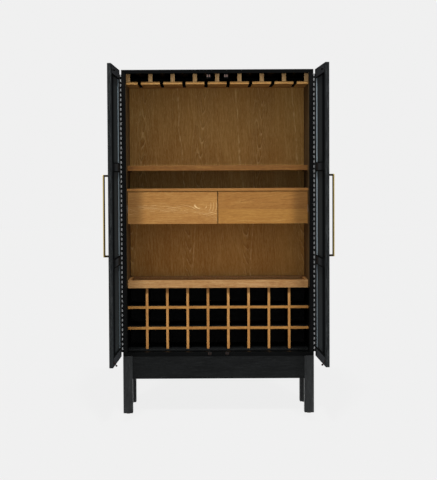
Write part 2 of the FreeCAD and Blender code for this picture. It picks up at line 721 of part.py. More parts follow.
def door_frame(side, name):
    rebate_faces = (f"{outer_face} + outer_lip", f"{inner_face} + cut_overrun")
    rebates = group([lite_box(side, low, "rebate_width", rebate_faces) for low in lite_lows])
    door_rise = (door_low, door_high)
    hinge_stile = block(across(-side, "hinge_axis_out", opening_run[0]), door_faces, door_rise)
    free_stile = block(across(-side, opening_run[1], door_free_edge), door_faces, door_rise)
    screw_holes = [
        rod(
            "handle_screw_radius + handle_screw_clearance",
            "door_thick + 2 * cut_overrun",
            (f"-({side}) * {handle_across}", f"{inner_face} + cut_overrun", height),
            90,
        )
        for height in post_heights
    ]
    run = across(-side, *opening_run)
    rises = [(door_low, lite_lows[0])]
    rises += [(f"{low} - muntin_width", low) for low in lite_lows[1:]]
    rises.append((f"{door_high} - rail_width", door_high))
    rails = group([block(run, door_faces, rise) for rise in rises])
    subpart(f"{name}_hinge_stile", on_door(side, cut(hinge_stile, [rebates])))
    subpart(f"{name}_free_stile", on_door(side, cut(free_stile, [rebates] + screw_holes)))
    subpart(f"{name}_rails", on_door(side, cut(rails, [rebates])))


def door_glazing(side, name):
    glass_back = f"({outer_face} + outer_lip + glass_thick)"
    glass_faces = (f"{outer_face} + outer_lip", glass_back)
    panes = [lite_box(side, low, "(rebate_width - glass_clearance)", glass_faces) for low in lite_lows]
    beads = []
    for low in lite_lows:
        outside = lite_box(side, low, "(rebate_width - bead_clearance)", (glass_back, inner_face))
        hollow_faces = (f"{glass_back} - cut_overrun", f"{inner_face} + cut_overrun")
        beads.append(cut(outside, [lite_box(side, low, "(rebate_width - bead_thick)", hollow_faces)]))
    subpart(f"{name}_panes", on_door(side, group(panes)))
    subpart(f"{name}_glazing_beads", on_door(side, group(beads)))


def door_handle(side, name):
    run = across(-side, f"{handle_across} - handle_bar / 2", f"{handle_across} + handle_bar / 2")
    bar_faces = (f"{outer_face} - handle_projection", f"{outer_face} - handle_projection + handle_bar")
    bar = block(run, bar_faces, (handle_low, handle_high))
    posts = [
        block(run, (bar_faces[0], outer_face), (f"{height} - handle_bar / 2", f"{height} + handle_bar / 2"))
        for height in post_heights
    ]
    subpart(f"{name}_handle", on_door(side, fuse([bar] + posts)))
    screws = []
    x = f"-({side}) * {handle_across}"
    for height in post_heights:
        shank = rod("handle_screw_radius", "door_thick + handle_screw_bite", (x, inner_face, height), 90)
        head_start = f"{inner_face} + handle_screw_head_height"
        head = rod("handle_screw_head_radius", "handle_screw_head_height", (x, head_start, height), 90)
        screws.append(fuse([shank, head]))
    subpart(f"{name}_handle_screws", on_door(side, group(screws)))


def ball(at):
    sphere = doc.addObject("Part::Sphere", "Ball")
    bind(sphere, "Radius", "strike_ball_radius")
    for name, text in zip("xyz", at):
        bind(sphere, f"Placement.Base.{name}", text)
    return sphere


def door_strikes(side, name):
    x = f"-({side}) * ({door_free_edge} - strike_edge_distance)"
    tip = f"({inner_face} + strike_reach)"
    plate_face = f"{inner_face} + strike_plate_thick"
    top = f"({door_high} - top_strike_drop)"
    foot = f"({door_low} + low_strike_rise)"
    low = f"({foot} - low_strike_slope)"
    slant = "sqrt(strike_reach * strike_reach + low_strike_slope * low_strike_slope)"
    stems = (
        rod("strike_stem_radius", "strike_reach", (x, tip, top), 90),
        rod("strike_stem_radius", slant, (x, tip, low), "atan(strike_reach / low_strike_slope)"),
    )
    strikes = []
    for stem, root, end in zip(stems, (top, foot), (top, low)):
        plate = rod("strike_plate_radius", "strike_plate_thick", (x, plate_face, root), 90)
        strikes.append(fuse([plate, stem, ball((x, tip, end))]))
    # the slanting stem is cut flush with the face that its plate sits on
    wood = block(across(-side, "0", door_free_edge), (outer_face, inner_face), (door_low, door_high))
    subpart(f"{name}_strikes", on_door(side, cut(group(strikes), [wood])))


for side in (LEFT, RIGHT):
    name = f"{SIDE_NAMES[side]}_door"
    door_frame(side, name)
    door_glazing(side, name)
    door_handle(side, name)
    door_strikes(side, name)
    leaf = hinge_leaf(side, door_leaf_faces, door_leaf_faces[1], 1, even_notches)
    subpart(f"{name}_hinge_leaf", on_door(side, leaf))
    screws = hinge_screws(side, door_leaf_faces[1], 1)
    subpart(f"{name}_hinge_screws", on_door(side, group(screws)))

doc.recompute()
for thing in doc.Objects:
    if "Invalid" in thing.State or "Error" in thing.State:
        raise RuntimeError(f"{thing.Name} ({thing.Label}) did not recompute")
for thing in subparts:
    if thing.Shape.isNull() or not thing.Shape.isValid() or not thing.Shape.Solids:
        raise RuntimeError(f"{thing.Label} has no sound solid")
os.makedirs("parts", exist_ok=True)
for thing in subparts:
    thing.Shape.exportStep(f"parts/{thing.Label}.step")
print(len(subparts), "sub-parts,", sum(len(thing.Shape.Solids) for thing in subparts), "solids")
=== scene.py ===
import math

import bpy
from mathutils import Matrix, Vector


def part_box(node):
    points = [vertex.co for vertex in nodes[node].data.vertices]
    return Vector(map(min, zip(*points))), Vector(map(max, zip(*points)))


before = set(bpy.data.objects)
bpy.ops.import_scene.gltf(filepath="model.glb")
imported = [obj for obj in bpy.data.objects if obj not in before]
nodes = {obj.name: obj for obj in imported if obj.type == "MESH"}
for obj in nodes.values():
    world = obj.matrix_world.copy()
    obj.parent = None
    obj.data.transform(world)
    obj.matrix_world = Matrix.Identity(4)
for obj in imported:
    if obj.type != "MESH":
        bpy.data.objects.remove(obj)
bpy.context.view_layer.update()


def put(tree, kind, values=None, **settings):
    """One shader node: settings are its options, values are numbers, colours or links on its sockets."""
    made = tree.nodes.new(kind)
    for name, value in settings.items():
        setattr(made, name, value)
    for socket, value in (values or {}).items():
        if isinstance(value, bpy.types.NodeSocket):
            tree.links.new(value, made.inputs[socket])
        else:
            made.inputs[socket].default_value = value
    return made


def ramp(tree, amount, stops):
    """A colour for each amount, from (place, colour) stops."""
    made = put(tree, "ShaderNodeValToRGB", {"Fac": amount})
    elements = made.color_ramp.elements
    while len(elements) < len(stops):
        elements.new(0.5)
    for element, (place, colour) in zip(elements, stops):
        element.position = place
        element.color = (*colour, 1.0)
    return made.outputs["Color"]


def spread(tree, amount, low, high, bottom=0.0, top=1.0):
    """An amount between low and high, carried over to bottom and top."""
    values = {"Value": amount, "From Min": low, "From Max": high, "To Min": bottom, "To Max": top}
    return put(tree, "ShaderNodeMapRange", values).outputs["Result"]


def maths(tree, operation, first, second=0.0):
    """One step of arithmetic on amounts."""
    return put(tree, "ShaderNodeMath", {0: first, 1: second}, operation=operation).outputs["Value"]


def times(tree, first, *others):
    """Two or more amounts multiplied together."""
    for other in others:
        first = maths(tree, "MULTIPLY", first, other)
    return first


def vectors(tree, operation, first, second):
    """One step of arithmetic on places."""
    return put(tree, "ShaderNodeVectorMath", {0: first, 1: second}, operation=operation).outputs[0]


def noise(tree, vector, scale, detail=2.0, rough=0.5, distortion=0.0):
    """A cloudy pattern between zero and one."""
    values = {
        "Vector": vector,
        "Scale": scale,
        "Detail": detail,
        "Roughness": rough,
        "Distortion": distortion,
    }
    return put(tree, "ShaderNodeTexNoise", values).outputs["Fac"]


def blend_colours(tree, amount, first, second):
    """The first colour where the amount is zero, the second where it is one."""
    made = put(tree, "ShaderNodeMix", {"Factor": amount}, data_type="RGBA")
    for socket, value in ((made.inputs[6], first), (made.inputs[7], second)):
        if isinstance(value, bpy.types.NodeSocket):
            tree.links.new(value, socket)
        else:
            socket.default_value = (*value, 1.0)
    return made.outputs[2]


def in_place(tree):
    """Places in the cabinet's own frame, which stay with a piece when it moves."""
    return put(tree, "ShaderNodeTexCoord").outputs["Object"]


def scaled(tree, vector, amount):
    """A vector made longer or shorter."""
    return put(tree, "ShaderNodeVectorMath", {0: vector, "Scale": amount}, operation="SCALE").outputs[0]


def drawn_out(tree, place, along, length):
    """Places squeezed along the grain, so that a pattern on them is drawn out along it."""
    scale = tuple(1.0 / length if axis == along else 1.0 for axis in "XYZ")
    return vectors(tree, "MULTIPLY", place, scale)


def shade_by(tone, *shades):
    """Shades multiplied by a tone, each colour by its own part of it."""
    return tuple(tuple(part * by for part, by in zip(shade, tone)) for shade in shades)


board_jump = (2.3, 3.1, 1.7)
stain_dark = (0.0032, 0.0036, 0.0038)
stain_middle = (0.0085, 0.0092, 0.0094)
stain_worn = (0.022, 0.024, 0.0245)


def black_grain(tree, along, paleness=1.0):
    """Black stain over oak: colour, roughness and height of the surface.

    Each separate board of a group has its own stretch of the grain.
    """
    island = put(tree, "ShaderNodeNewGeometry").outputs["Random Per Island"]
    place = vectors(tree, "ADD", in_place(tree), scaled(tree, board_jump, island))
    fibre = noise(tree, drawn_out(tree, place, along, 22.0), 420.0, 4.0, 0.65)
    pores = noise(tree, drawn_out(tree, place, along, 14.0), 1100.0, 2.0, 0.6)
    bands = noise(tree, drawn_out(tree, place, along, 9.0), 46.0, 3.0, 0.6, 0.6)
    dark, middle, worn = shade_by((paleness, paleness, paleness), stain_dark, stain_middle, stain_worn)
    stain = ramp(tree, bands, ((0.3, dark), (0.7, middle)))
    colour = blend_colours(tree, spread(tree, fibre, 0.52, 0.78), stain, worn)
    dips = spread(tree, pores, 0.56, 0.66)
    colour = blend_colours(tree, dips, colour, tuple(part * 0.4 for part in dark))
    rough = spread(tree, fibre, 0.3, 0.75, 0.36, 0.52)
    height = maths(tree, "SUBTRACT", times(tree, fibre, 0.35), dips)
    return colour, rough, height


def new_finish(name):
    """An empty material, and the tree that its shader is built in."""
    material = bpy.data.materials.new(name)
    material.use_nodes = True
    material.node_tree.nodes.clear()
    return material, material.node_tree


def lay_surface(tree, colour, rough, height, relief, constants):
    """The surface of a finish: its relief has a strength and a depth, and constants hold all over it."""
    strength, depth = relief
    bump = put(tree, "ShaderNodeBump", {"Strength": strength, "Distance": depth, "Height": height})
    values = {"Base Color": colour, "Roughness": rough, "Normal": bump.outputs[0], **constants}
    surface = put(tree, "ShaderNodeBsdfPrincipled", values)
    out = put(tree, "ShaderNodeOutputMaterial")
    tree.links.new(surface.outputs[0], out.inputs["Surface"])


pore_relief = (1.0, 0.00012)


def wood(name, figure, gloss=0.16):
    """A lacquered wood from a function that gives its colour, roughness and height."""
    material, tree = new_finish(name)
    colour, rough, height = figure(tree)
    lay_surface(tree, colour, rough, height, pore_relief, {"Specular IOR Level": gloss})
    return material


def black_oak(name, along, paleness=1.0, gloss=0.16):
    """Black-stained oak with its grain along one axis."""
    return wood(name, lambda tree: black_grain(tree, along, paleness), gloss)


def dress(node, material, arris=0.0012):
    """Give a piece its finish, and take the sharpness off its edges."""
    piece = nodes[node]
    piece.data.materials.clear()
    piece.data.materials.append(material)
    if arris:
        weld = piece.modifiers.new("joined", "WELD")
        weld.merge_threshold = 0.00002
        eased = piece.modifiers.new("eased_edges", "BEVEL")
        eased.width = arris
        eased.segments = 2
        eased.limit_method = "ANGLE"
        eased.angle_limit = math.radians(40)
        eased.harden_normals = True


apron_black = black_oak("apron_black_oak", "X", paleness=0.75, gloss=0.06)
side_apron_black = black_oak("side_apron_black_oak", "Y", paleness=0.9, gloss=0.08)
dress("legs", black_oak("leg_black_oak", "Z", paleness=2.2), arris=0.002)
dress("front_apron", apron_black, arris=0.0015)
dress("rear_apron", apron_black, arris=0.0015)
dress("side_aprons", side_apron_black, arris=0.0015)
dress("base_cleats", apron_black)

speckle_relief = (0.4, 0.00008)


def moulded(name, colour, rough, speckle, gloss=0.35):
    """Moulded plastic or paint with a fine speckle."""
    material, tree = new_finish(name)
    grain = noise(tree, in_place(tree), 900.0, 3.0, 0.6)
    dark = tuple(part * (1.0 - speckle) for part in colour)
    light = tuple(min(1.0, part * (1.0 + speckle)) for part in colour)
    shade = ramp(tree, grain, ((0.3, dark), (0.7, light)))
    roughness = spread(tree, grain, 0.25, 0.75, rough - 0.06, rough + 0.06)
    lay_surface(tree, shade, roughness, grain, speckle_relief, {"Specular IOR Level": gloss})
    return material


glide_brown = (0.34, 0.235, 0.13)
dress("foot_glides", moulded("glide_plastic", glide_brown, rough=0.5, speckle=0.25), arris=0.001)

# Carcass panels: oak-veneered boards mitred at the four corners, the back let in from behind.
# They are stained black outside and round the wine rack and stemware rack, and left natural oak
# where the open compartments show them.
sway_reach = 0.022


def log_place(tree, pith, tilt, jump, leaf):
    """Places measured from the heart of the log, which runs at a small angle to the board.

    Boards of a group are cut from different lengths of it, and leaves of veneer are laid side by side.
    """
    place = in_place(tree)
    if leaf:
        parts = put(tree, "ShaderNodeSeparateXYZ", {"Vector": place}).outputs
        count = maths(tree, "FLOOR", maths(tree, "DIVIDE", parts["X"], leaf))
        draw = put(tree, "ShaderNodeTexWhiteNoise", {"W": count}, noise_dimensions="1D").outputs
        rest = maths(tree, "SUBTRACT", parts["X"], times(tree, count, leaf))
        on_leaf = {"X": rest, "Y": parts["Y"], "Z": parts["Z"]}
        place = put(tree, "ShaderNodeCombineXYZ", on_leaf).outputs[0]
        chance = draw["Value"]
        leap = vectors(tree, "MULTIPLY", draw["Color"], jump)
    else:
        chance = put(tree, "ShaderNodeNewGeometry").outputs["Random Per Island"]
        leap = scaled(tree, jump, chance)
    moved = vectors(tree, "SUBTRACT", vectors(tree, "ADD", place, leap), pith)
    turn = tuple(map(math.radians, tilt))
    return put(tree, "ShaderNodeMapping", {"Vector": moved, "Rotation": turn}).outputs[0], chance


def oak_grain(tree, along, tone, pith=(0.0, 0.0, 0.0), tilt=(0.0, 0.0, 0.0), rings=52.0,
              jump=(0.9, 0.9, 0.9), leaf=0.0, figure=1.0):
    """Lacquered oak: growth rings cut by the face, pale streaks and open pores."""
    place, chance = log_place(tree, pith, tilt, jump, leaf)
    clouds = put(
        tree,
        "ShaderNodeTexNoise",
        {"Vector": drawn_out(tree, place, along, 3.5), "Scale": 11.0, "Detail": 3.0, "Roughness": 0.55},
    ).outputs["Color"]
    swayed = put(
        tree,
        "ShaderNodeVectorMath",
        {0: clouds, 1: (sway_reach, sway_reach, sway_reach), 2: place},
        operation="MULTIPLY_ADD",
    ).outputs[0]
    growth = put(
        tree,
        "ShaderNodeTexWave",
        {"Vector": swayed, "Scale": rings, "Distortion": 0.6, "Detail": 2.0, "Detail Scale": 3.0},
        wave_type="RINGS",
        rings_direction=along,
        wave_profile="SAW",
    ).outputs["Fac"]
    wide = noise(tree, drawn_out(tree, place, along, 7.0), 9.0, 3.0, 0.55)
    streaks = noise(tree, drawn_out(tree, place, along, 24.0), 120.0, 4.0, 0.7)
    flecks = noise(tree, drawn_out(tree, place, along, 4.5), 190.0, 3.0, 0.6)
    patches = noise(tree, drawn_out(tree, place, along, 3.0), 16.0, 2.0, 0.5)
    fibre = noise(tree, drawn_out(tree, place, along, 26.0), 560.0, 3.0, 0.65)
    pores = noise(tree, drawn_out(tree, place, along, 16.0), 1300.0, 2.0, 0.6)
    heart, sap, pale_line, dark_line = shade_by(
        tone, (0.37, 0.172, 0.049), (0.49, 0.257, 0.085), (0.70, 0.45, 0.21), (0.23, 0.096, 0.026)
    )
    mood = maths(tree, "ADD", times(tree, wide, 0.75), times(tree, chance, 0.25))
    colour = ramp(tree, mood, ((0.32, heart), (0.68, sap)))
    early = spread(tree, growth, 0.0, 0.3, 1.0, 0.0)
    late = spread(tree, growth, 0.62, 1.0)
    colour = blend_colours(tree, times(tree, late, 0.34 * figure), colour, dark_line)
    shown = times(tree, early, spread(tree, patches, 0.42, 0.6, 0.15, 0.75))
    colour = blend_colours(tree, times(tree, shown, figure), colour, pale_line)
    for pattern, start, full, most, line in (
        (flecks, 0.5, 0.75, 0.42, pale_line),
        (flecks, 0.48, 0.25, 0.42, dark_line),
        (streaks, 0.5, 0.78, 0.5, pale_line),
        (streaks, 0.5, 0.24, 0.4, dark_line),
    ):
        amount = spread(tree, pattern, start, full, 0.0, most * figure)
        colour = blend_colours(tree, amount, colour, line)
    colour = blend_colours(tree, spread(tree, fibre, 0.4, 0.75, 0.0, 0.25), colour, pale_line)
    dips = times(tree, spread(tree, pores, 0.55, 0.66), spread(tree, early, 0.0, 1.0, 0.35, 1.0))
    colour = blend_colours(tree, times(tree, dips, 0.5), colour, dark_line)
    rough = spread(tree, fibre, 0.3, 0.7, 0.42, 0.56)
    height = maths(tree, "SUBTRACT", times(tree, fibre, 0.3), dips)
    return colour, rough, height


def part_oak(tree, mask, oak, other):
    """One wood where the mask is one, and the other elsewhere."""
    colour = blend_colours(tree, mask, other[0], oak[0])
    mixed = []
    for first, second in zip(other[1:], oak[1:]):
        made = put(tree, "ShaderNodeMix", {0: mask, 2: first, 3: second}, data_type="FLOAT")
        mixed.append(made.outputs[0])
    return (colour, *mixed)


def on_axis(tree, axis):
    """How far along an axis of the cabinet a place lies."""
    return put(tree, "ShaderNodeSeparateXYZ", {"Vector": in_place(tree)}).outputs[axis]


def between(tree, axis, low, high):
    """One where a place lies between two values along an axis."""
    value = on_axis(tree, axis)
    return times(tree, maths(tree, "GREATER_THAN", value, low), maths(tree, "LESS_THAN", value, high))


def opposite(tree, mask):
    """One where a mask is zero."""
    return maths(tree, "SUBTRACT", 1.0, mask)


outer_paleness = 1.4
thick_black, thick_share = (0.0006, 0.0007, 0.0007), 0.9


def carcass_black(tree, along, outside):
    """Black stain that lets the grain show on the outer faces and lies thick on edges and inside."""
    colour, rough, height = black_grain(tree, along, outer_paleness)
    thick = times(tree, opposite(tree, outside), thick_share)
    return blend_colours(tree, thick, colour, thick_black), rough, height


rack_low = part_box("stemware_rack_board")[0].z
wine_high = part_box("wine_rack_top")[1].z
cabinet_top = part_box("top_panel")[1].z
inner_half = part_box("back_panel")[1].x
outer_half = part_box("right_side_panel")[1].x
back_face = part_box("back_panel")[0].y
oak_edge = 0.0006
beyond = 2.0


def side_figure(tree):
    """A side panel: oak on its inner face in the open compartments, in front of the back panel."""
    inside = between(tree, "X", -inner_half - oak_edge, inner_half + oak_edge)
    in_front = between(tree, "Y", -beyond, back_face + oak_edge)
    mask = times(tree, inside, in_front, between(tree, "Z", wine_high, rack_low))
    oak = oak_grain(tree, "Z", tone=(0.22, 0.27, 0.36), pith=(0.3, 0.2, 0.0), tilt=(0.0, 3.0, 0.0))
    outside = opposite(tree, between(tree, "X", oak_edge - outer_half, outer_half - oak_edge))
    return part_oak(tree, mask, oak, carcass_black(tree, "Z", outside))


def across_figure(tree):
    """The top and bottom panels, whose only outer face is the top of the cabinet."""
    return carcass_black(tree, "X", between(tree, "Z", cabinet_top - oak_edge, beyond))


def smooth(tree, amount, low, high):
    """A soft step, from zero at low to one at high."""
    values = {"Value": amount, "From Min": low, "From Max": high}
    return put(tree, "ShaderNodeMapRange", values, interpolation_type="SMOOTHSTEP").outputs["Result"]


def distance(tree, first, second):
    """How far away a place is, from how far it lies in two directions."""
    squares = maths(tree, "ADD", maths(tree, "POWER", first, 2.0), maths(tree, "POWER", second, 2.0))
    return maths(tree, "SQRT", squares)


leaf_width, first_joint, leaf_slip = 0.1615, -0.1455, 0.11
heart_across, heart_level, heart_lean, heart_wander = 0.0605, 1.55, -0.075, 0.034
pith_depth, pith_slope = 0.121, 0.052
ring_width = 0.0042
heart_half, heart_core = 0.07, 0.02
vein_half, vein_core = 0.0042, 0.0012
ring_pale, ring_dark, vein_pale, lower_dark = 0.5, 0.34, 0.55, 0.14
drawer_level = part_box("left_drawer_front")[0].z


def veneer_hearts(tree, colour, pale_line, dark_line):
    """Leaves of veneer in mirrored pairs: pointed rings at the heart of one, a pale vein in the next."""
    parts = put(tree, "ShaderNodeSeparateXYZ", {"Vector": in_place(tree)}).outputs
    along = maths(tree, "SUBTRACT", parts["X"], first_joint)
    across = maths(tree, "PINGPONG", along, leaf_width)
    count = maths(tree, "FLOOR", maths(tree, "DIVIDE", along, leaf_width))
    chance = put(tree, "ShaderNodeTexWhiteNoise", {"W": count}, noise_dimensions="1D").outputs["Value"]
    rise = maths(tree, "ADD", parts["Z"], times(tree, chance, leaf_slip))
    sheet = put(tree, "ShaderNodeCombineXYZ", {"X": across, "Y": count, "Z": rise}).outputs[0]
    wander = maths(tree, "SUBTRACT", noise(tree, drawn_out(tree, sheet, "Z", 4.0), 24.0, 3.0, 0.6), 0.5)
    lean = times(tree, maths(tree, "SUBTRACT", rise, heart_level), heart_lean)
    off = maths(tree, "ADD", maths(tree, "SUBTRACT", across, heart_across), lean)
    off = maths(tree, "ADD", off, times(tree, wander, heart_wander))
    depth = maths(tree, "SUBTRACT", pith_depth, times(tree, rise, pith_slope))
    ring = maths(tree, "FRACT", maths(tree, "DIVIDE", distance(tree, off, depth), ring_width))
    aside = maths(tree, "ABSOLUTE", off)
    upper = maths(tree, "GREATER_THAN", parts["Z"], drawer_level)
    odd = maths(tree, "PINGPONG", count, 1.0)
    veined = maths(tree, "ABSOLUTE", maths(tree, "SUBTRACT", odd, opposite(tree, upper)))
    broken = noise(tree, drawn_out(tree, sheet, "Z", 2.2), 60.0, 2.0, 0.5)
    broken = spread(tree, broken, 0.4, 0.62, 0.1, 1.0)
    near = times(tree, smooth(tree, aside, heart_half, heart_core), opposite(tree, veined))
    pale = times(tree, smooth(tree, ring, 0.3, 0.02), broken, near, ring_pale)
    colour = blend_colours(tree, pale, colour, pale_line)
    dark = times(tree, smooth(tree, ring, 0.55, 0.99), near, ring_dark)
    colour = blend_colours(tree, dark, colour, dark_line)
    vein = times(tree, smooth(tree, aside, vein_half, vein_core), veined, broken, vein_pale)
    colour = blend_colours(tree, vein, colour, pale_line)
    return blend_colours(tree, spread(tree, upper, 0.0, 1.0, lower_dark, 0.0), colour, dark_line)


def back_figure(tree):
    """The back panel: leaves of oak veneer in the open compartments, black below, above and behind."""
    inside = between(tree, "Y", back_face - oak_edge, back_face + oak_edge)
    mask = times(tree, inside, between(tree, "Z", wine_high, rack_low))
    tone = (0.95, 0.98, 0.76)
    pith, tilt, jump = (0.15, back_face + 0.02, 1.0), (2.2, 3.0, 0.0), (0.16, 0.03, 0.9)
    colour, rough, height = oak_grain(tree, "Z", tone, pith, tilt, rings=46.0, jump=jump, leaf=leaf_width)
    pale_line, dark_line = shade_by(tone, (0.86, 0.6, 0.33), (0.17, 0.07, 0.02))
    colour = veneer_hearts(tree, colour, pale_line, dark_line)
    behind = between(tree, "Y", back_face + oak_edge, beyond)
    return part_oak(tree, mask, (colour, rough, height), carcass_black(tree, "Z", behind))


two_tone_side = wood("side_oak_and_black", side_figure, gloss=0.05)
black_across = wood("black_oak_across", across_figure, gloss=0.03)
dress("left_side_panel", two_tone_side)
dress("right_side_panel", two_tone_side)
dress("top_panel", black_across)
dress("bottom_panel", black_across)
dress("back_panel", wood("back_oak_and_black", back_figure, gloss=0.08), arris=0.0)

# Stemware rack: nine uprights glued and screwed under the top, and a board with slots sawn in from
# its front edge. Oak shows on the front edges and underneath, and the rest is stained black.
rack_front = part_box("stemware_rack_board")[0].y
lipping, bare_skin = 0.009, 0.0016
rack_paleness = 0.3


def upright_figure(tree):
    """Uprights with an oak lipping on the front edge."""
    mask = between(tree, "Y", -beyond, rack_front + lipping)
    # The lipping oak is toned paler than the board's, partly its own tone and partly painted light where
    # the top shades it.
    oak = oak_grain(tree, "Z", tone=(1.15, 1.3, 1.5), pith=(0.3, 0.06, 0.0))
    return part_oak(tree, mask, oak, black_grain(tree, "Y", rack_paleness))


def rack_figure(tree):
    """The slotted board, left as oak in front and below."""
    front = between(tree, "Y", -beyond, rack_front + bare_skin)
    below = between(tree, "Z", -beyond, rack_low + bare_skin)
    mask = maths(tree, "MAXIMUM", front, below)
    oak = oak_grain(tree, "X", tone=(0.8, 0.78, 0.62), pith=(0.0, 0.05, 1.6))
    return part_oak(tree, mask, oak, black_grain(tree, "Y", rack_paleness))


dress("stemware_rack_uprights", wood("upright_oak_and_black", upright_figure), arris=0.0008)
dress("stemware_rack_board", wood("rack_oak_and_black", rack_figure), arris=0.0008)

# Upper shelf: one thick oak board that lies loose on four pins, so that it lifts out.
# The pins are turned from dark bronze and pushed into holes bored in the side panels.
shelf_tone = (0.335, 0.252, 0.128)


def plain_oak(name, along, tone, **cut):
    """Lacquered oak with its grain along one axis, and how it is cut from the log."""
    return wood(name, lambda tree: oak_grain(tree, along, tone, **cut))


shelf_oak = plain_oak("shelf_oak", "X", shelf_tone, pith=(0.0, 0.2, 1.25), tilt=(0.0, 0.0, 2.0), figure=1.6)
dress("upper_shelf", shelf_oak)

brush_relief = (0.3, 0.00004)


def metal(name, colour, rough, brushed="Z", wear=0.25, painted_lit_face=None):
    """Plated or bare metal, faintly brushed along one axis, with patches of tarnish.

    The last argument gives a paler colour, painted on as painted light, and the two places across the
    cabinet between which it shows.
    """
    material, tree = new_finish(name)
    place = in_place(tree)
    lines = noise(tree, drawn_out(tree, place, brushed, 40.0), 2600.0, 2.0, 0.5)
    patches = noise(tree, place, 60.0, 4.0, 0.6)
    dull = tuple(part * (1.0 - wear) for part in colour)
    shade = ramp(tree, patches, ((0.35, dull), (0.65, colour)))
    if painted_lit_face:
        bright, low, high = painted_lit_face
        shade = blend_colours(tree, between(tree, "X", low, high), shade, bright)
    roughness = spread(tree, lines, 0.2, 0.8, rough - 0.07, rough + 0.05)
    roughness = maths(tree, "ADD", roughness, times(tree, patches, 0.06))
    lay_surface(tree, shade, roughness, lines, brush_relief, {"Metallic": 1.0})
    return material


dress("shelf_pins", metal("dark_bronze", (0.04, 0.017, 0.013), rough=0.5), arris=0.0005)

# Drawer case: an oak board over the drawers with a divider hung under it, both glued in.
# Zinc-plated steel channels are screwed to the side panels and to the divider.
case_oak = plain_oak("case_oak", "X", tone=(0.53, 0.43, 0.27), pith=(0.0, 0.2, 1.1))
dress("drawer_case_top", case_oak)
dress("drawer_case_divider", plain_oak("divider_oak", "Y", tone=(0.7, 0.65, 0.5)))
zinc = metal("zinc_plate", (0.5, 0.51, 0.52), rough=0.42, brushed="Y")
dress("drawer_runner_rails", zinc, arris=0.0003)

# Drawers: plain oak fronts cut from wide boards, screwed from inside to a box of thinner oak
# with a bottom slid into grooves, on steel slides.
drawer_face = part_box("left_drawer_front")[0].y
knot_across, knot_level = -0.0743, 1.112
knot_left, knot_right, knot_high, knot_core = 0.048, 0.0155, 0.021, 0.25
knot_wander, knot_ring = 0.02, 0.0085
bow_across, bow_bend = -0.30, 0.55
band_level, band_half, band_core = 1.098, 0.034, 0.012
first_arc, arc_spacing, arc_half, arc_core = 2.45, 0.48, 0.2, 0.04
arcs_start, arcs_full, arcs_drop = 0.024, 0.032, 0.012
arcs_high, arcs_low = 0.032, 0.016
hook_half, hook_core, hook_top, hook_full = 0.15, 0.04, 0.006, -0.002
flow_pale, flow_dark, arc_pale, hook_pale = 0.75, 0.3, 0.32, 0.85


def knot_lines(tree, colour, pale_line, dark_line):
    """Grain that flows round a small knot, with a bright hook of new wood under it and rings beside it."""
    parts = put(tree, "ShaderNodeSeparateXYZ", {"Vector": in_place(tree)}).outputs
    wander = noise(tree, drawn_out(tree, in_place(tree), "X", 3.5), 26.0, 3.0, 0.6)
    wander = times(tree, maths(tree, "SUBTRACT", wander, 0.5), knot_wander)
    right = maths(tree, "SUBTRACT", parts["X"], knot_across)
    up = maths(tree, "ADD", maths(tree, "SUBTRACT", parts["Z"], knot_level), wander)
    to_right = maths(tree, "DIVIDE", right, knot_right)
    to_left = maths(tree, "DIVIDE", right, -knot_left)
    wide = maths(tree, "MAXIMUM", to_right, to_left)
    radius = distance(tree, wide, maths(tree, "DIVIDE", up, knot_high))
    yielding = maths(tree, "ADD", maths(tree, "POWER", radius, 2.0), knot_core)
    flow = maths(tree, "SUBTRACT", up, maths(tree, "DIVIDE", up, yielding))
    bow = maths(tree, "POWER", maths(tree, "SUBTRACT", parts["X"], bow_across), 2.0)
    bow = times(tree, bow, bow_bend)
    ring = maths(tree, "FRACT", maths(tree, "DIVIDE", maths(tree, "ADD", flow, bow), knot_ring))
    broken = noise(tree, drawn_out(tree, in_place(tree), "X", 4.0), 75.0, 2.0, 0.5)
    broken = spread(tree, broken, 0.42, 0.6, 0.08, 1.0)
    band = maths(tree, "SUBTRACT", maths(tree, "ADD", parts["Z"], bow), band_level)
    band = maths(tree, "ABSOLUTE", band)
    shown = times(tree, smooth(tree, band, band_half, band_core), broken)
    pale = times(tree, smooth(tree, ring, 0.34, 0.04), shown, flow_pale)
    colour = blend_colours(tree, pale, colour, pale_line)
    dark = times(tree, smooth(tree, ring, 0.6, 0.98), shown, flow_dark)
    colour = blend_colours(tree, dark, colour, dark_line)
    from_arc = maths(tree, "PINGPONG", maths(tree, "SUBTRACT", radius, first_arc), arc_spacing)
    arcs = smooth(tree, from_arc, arc_half, arc_core)
    arcs = times(tree, arcs, smooth(tree, right, arcs_start, arcs_full))
    from_middle = maths(tree, "ABSOLUTE", maths(tree, "ADD", up, arcs_drop))
    arcs = times(tree, arcs, smooth(tree, from_middle, arcs_high, arcs_low), arc_pale)
    colour = blend_colours(tree, arcs, colour, pale_line)
    rim = maths(tree, "ABSOLUTE", maths(tree, "SUBTRACT", radius, 1.0))
    hook = times(tree, smooth(tree, rim, hook_half, hook_core), smooth(tree, up, hook_top, hook_full))
    return blend_colours(tree, times(tree, hook, broken, hook_pale), colour, pale_line)


# Painted shadow: the outer ends of the drawer fronts are darkened where the open doors shade them.
shadow_starts, shadow_full = 0.375, 0.43
painted_shadow_colour, painted_shadow_share = (0.05, 0.018, 0.004), 0.3
still = (0.0, 0.0, 0.0)
board_joint = 1.089


def painted_shade_end(tree, colour, inner, outer):
    """The outer end of a front, darkened with a painted shadow of the open doors."""
    amount = times(tree, smooth(tree, on_axis(tree, "X"), inner, outer), painted_shadow_share)
    return blend_colours(tree, amount, colour, painted_shadow_colour)


